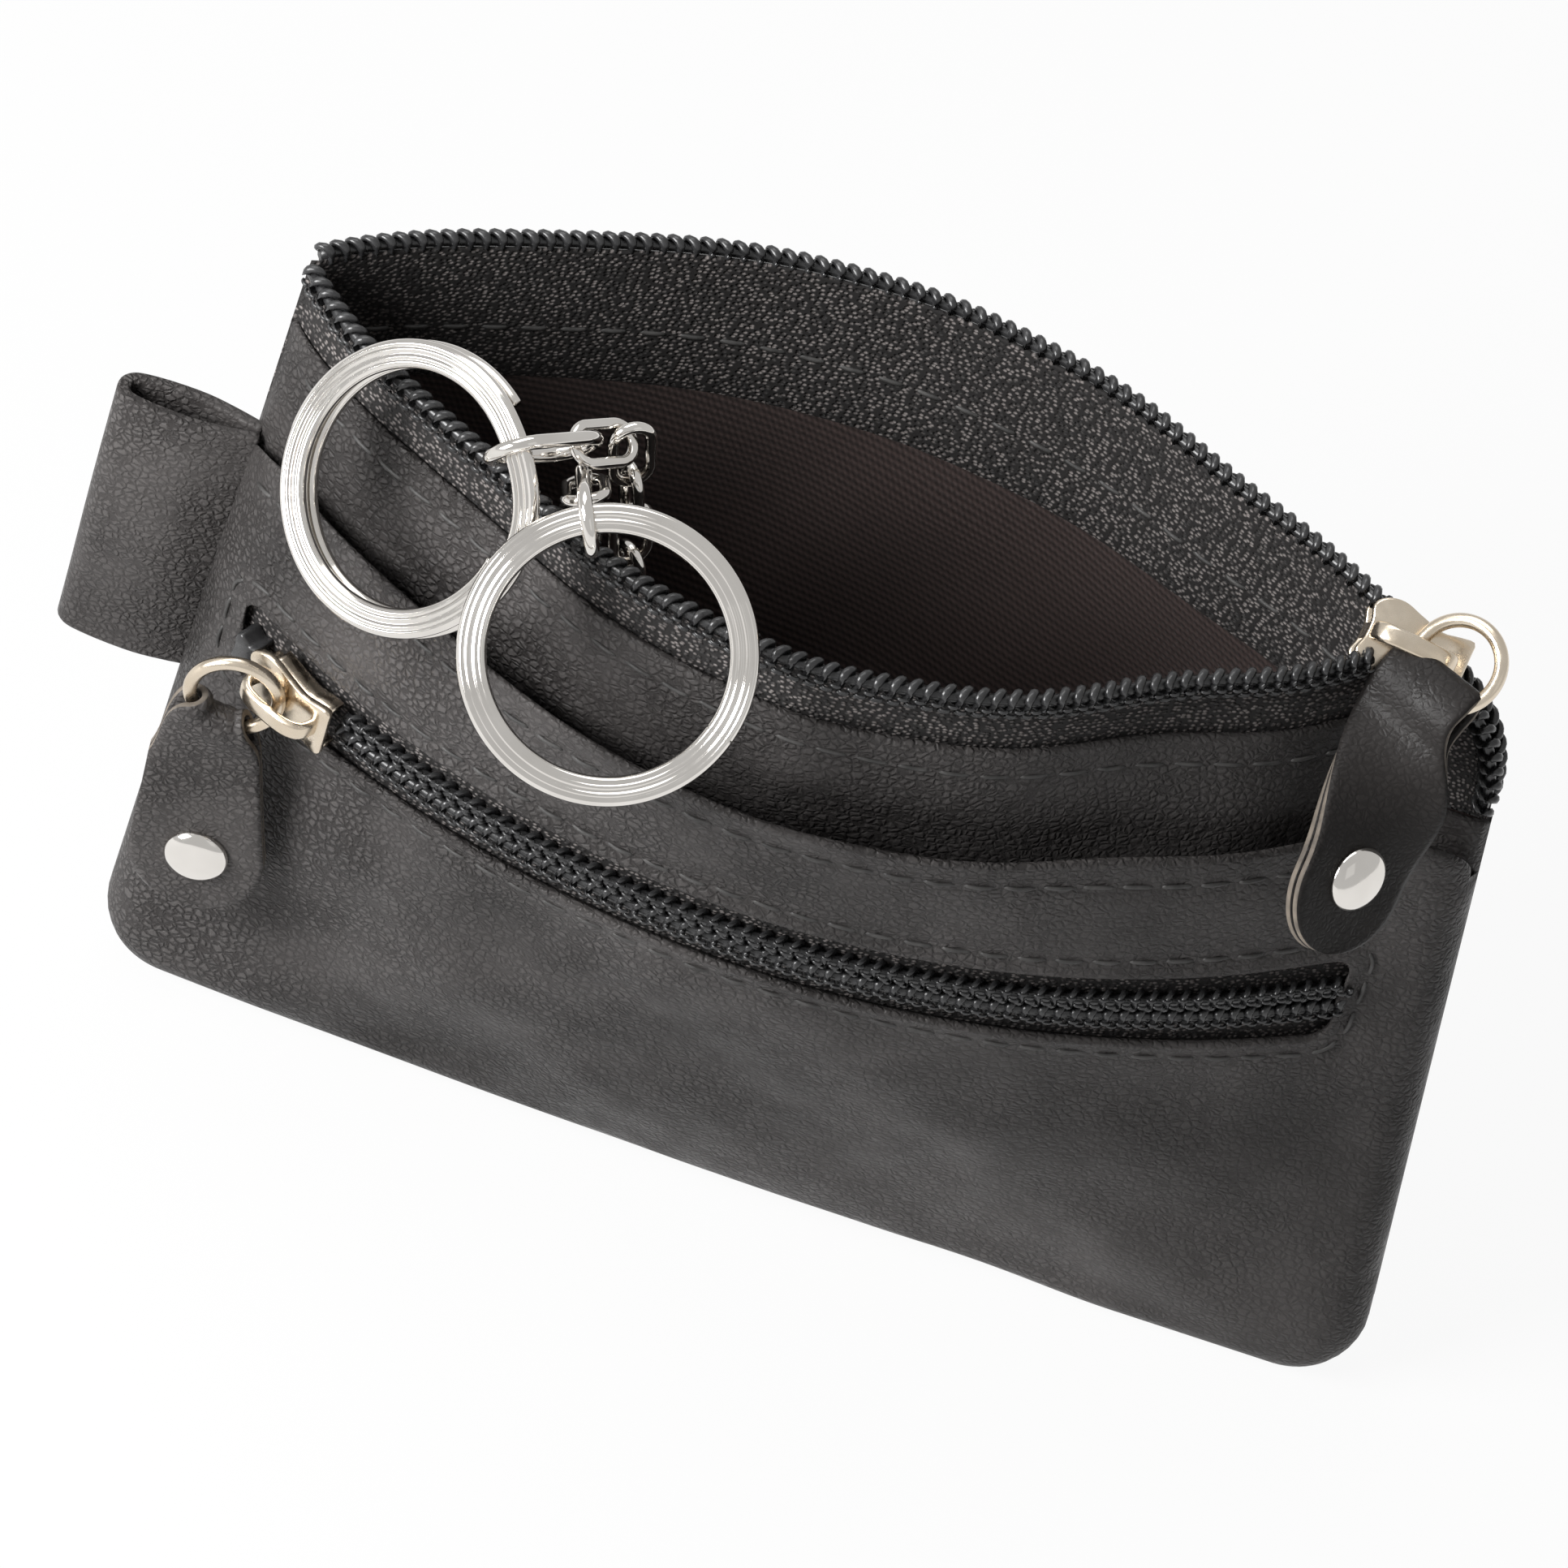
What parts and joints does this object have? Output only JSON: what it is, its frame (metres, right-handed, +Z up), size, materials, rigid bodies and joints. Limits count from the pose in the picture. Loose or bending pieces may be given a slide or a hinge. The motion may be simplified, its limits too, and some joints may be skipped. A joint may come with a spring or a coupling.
{
  "type": "zip key case",
  "caption": "Soft leather zip pouch for keys with split rings on inner chains, an open slip pocket, a zipped front pocket and a side belt loop.",
  "frame": {"origin": "middle of the pouch's base, on the surface it stands on", "axes": "+X along the pouch's width to the end where the main zip closes, +Y towards the back, +Z up"},
  "size_m": [0.1252, 0.0615, 0.0845],
  "materials": {
    "black_leather": "fine grain, semi matt",
    "lining_cloth": "twill, matt",
    "zip_tape": "woven, matt",
    "zip_coil": "satin nylon",
    "nickel": "polished nickel plate"
  },
  "bodies": {
    "pouch": {"back_panel": "black_leather", "front_inner_panel": "black_leather", "front_outer_panel": "black_leather", "front_lining": "lining_cloth", "back_lining": "lining_cloth", "front_pocket_lining": "lining_cloth", "main_zip_front_tape": "zip_tape", "main_zip_back_tape": "zip_tape", "main_zip_front_coil": "zip_coil", "main_zip_back_coil": "zip_coil", "front_zip_lower_tape": "zip_tape", "front_zip_upper_tape": "zip_tape", "front_zip_lower_coil": "zip_coil", "front_zip_upper_coil": "zip_coil", "belt_loop": "black_leather", "key_strap": "black_leather", "left_key_chain": "nickel", "right_key_chain": "nickel", "front_zip_stop": "zip_coil"},
    "main_slider": {"main_slider": "nickel"},
    "main_pull_ring": {"main_pull_ring": "nickel"},
    "main_pull_tab": {"main_pull_tab": "black_leather", "main_pull_rivet": "nickel"},
    "front_slider": {"front_slider": "nickel"},
    "front_pull_ring": {"front_pull_ring": "nickel"},
    "front_pull_tab": {"front_pull_tab": "black_leather", "front_pull_rivet": "nickel"},
    "left_terminal_link": {"left_terminal_link": "nickel"},
    "left_split_ring": {"left_split_ring": "nickel"},
    "right_terminal_link": {"right_terminal_link": "nickel"},
    "right_split_ring": {"right_split_ring": "nickel"}
  },
  "joints": [
    {"name": "main_zip", "type": "slide", "parent": "pouch", "child": "main_slider", "axis": [-0.9645, -0.264, 0], "range_m": [0, 0.0394], "deforming": ["back_panel", "front_inner_panel", "front_outer_panel", "front_lining", "back_lining", "front_pocket_lining", "main_zip_front_tape", "main_zip_back_tape", "main_zip_front_coil", "main_zip_back_coil", "front_zip_lower_tape", "front_zip_upper_tape", "front_zip_lower_coil", "front_zip_upper_coil", "belt_loop", "key_strap", "left_key_chain", "right_key_chain"]},
    {"name": "main_ring_swing", "type": "hinge", "parent": "main_slider", "child": "main_pull_ring", "pos_m": [0.03902, 0.00725, 0.07568], "axis": [0.0895, 0.766, 0.6365], "range_deg": [-25, 3]},
    {"name": "main_tab_swing", "type": "hinge", "parent": "main_pull_ring", "child": "main_pull_tab", "pos_m": [0.04176, 0.00343, 0.07411], "axis": [0.9216, -0.2697, 0.279], "range_deg": [-30, 6]},
    {"name": "front_zip", "type": "hinge", "parent": "pouch", "child": "front_slider", "pos_m": [-0.00575, 0.06429, 0.0429], "axis": [0, 0, 1], "range_deg": [0, 55], "deforming": ["front_zip_lower_tape", "front_zip_upper_tape", "front_zip_lower_coil", "front_zip_upper_coil"]},
    {"name": "front_ring_swing", "type": "hinge", "parent": "front_slider", "child": "front_pull_ring", "pos_m": [-0.04718, -0.00936, 0.0429], "axis": [0, 0, 1], "range_deg": [-4, 45]},
    {"name": "front_tab_swing", "type": "hinge", "parent": "front_pull_ring", "child": "front_pull_tab", "pos_m": [-0.05087, -0.00973, 0.0392], "axis": [-0.995, -0.0999, 0], "range_deg": [-3, 60]},
    {"name": "left_link_swing", "type": "hinge", "parent": "pouch", "child": "left_terminal_link", "pos_m": [-0.03055, -0.00695, 0.08013], "axis": [-0.5295, 0.7004, 0.4785], "range_deg": [-3, 5]},
    {"name": "left_ring_swing", "type": "hinge", "parent": "left_terminal_link", "child": "left_split_ring", "pos_m": [-0.03435, -0.01071, 0.08142], "axis": [-0.5295, 0.7004, 0.4785], "range_deg": [-3, 15]},
    {"name": "right_link_swing", "type": "hinge", "parent": "pouch", "child": "right_terminal_link", "pos_m": [-0.02823, -0.01077, 0.07859], "axis": [-0.8868, -0.3274, -0.3263], "range_deg": [-6, 40]},
    {"name": "right_ring_swing", "type": "hinge", "parent": "right_terminal_link", "child": "right_split_ring", "pos_m": [-0.02749, -0.01549, 0.08133], "axis": [-0.8868, -0.3274, -0.3263], "range_deg": [-6, 90]}
  ]
}
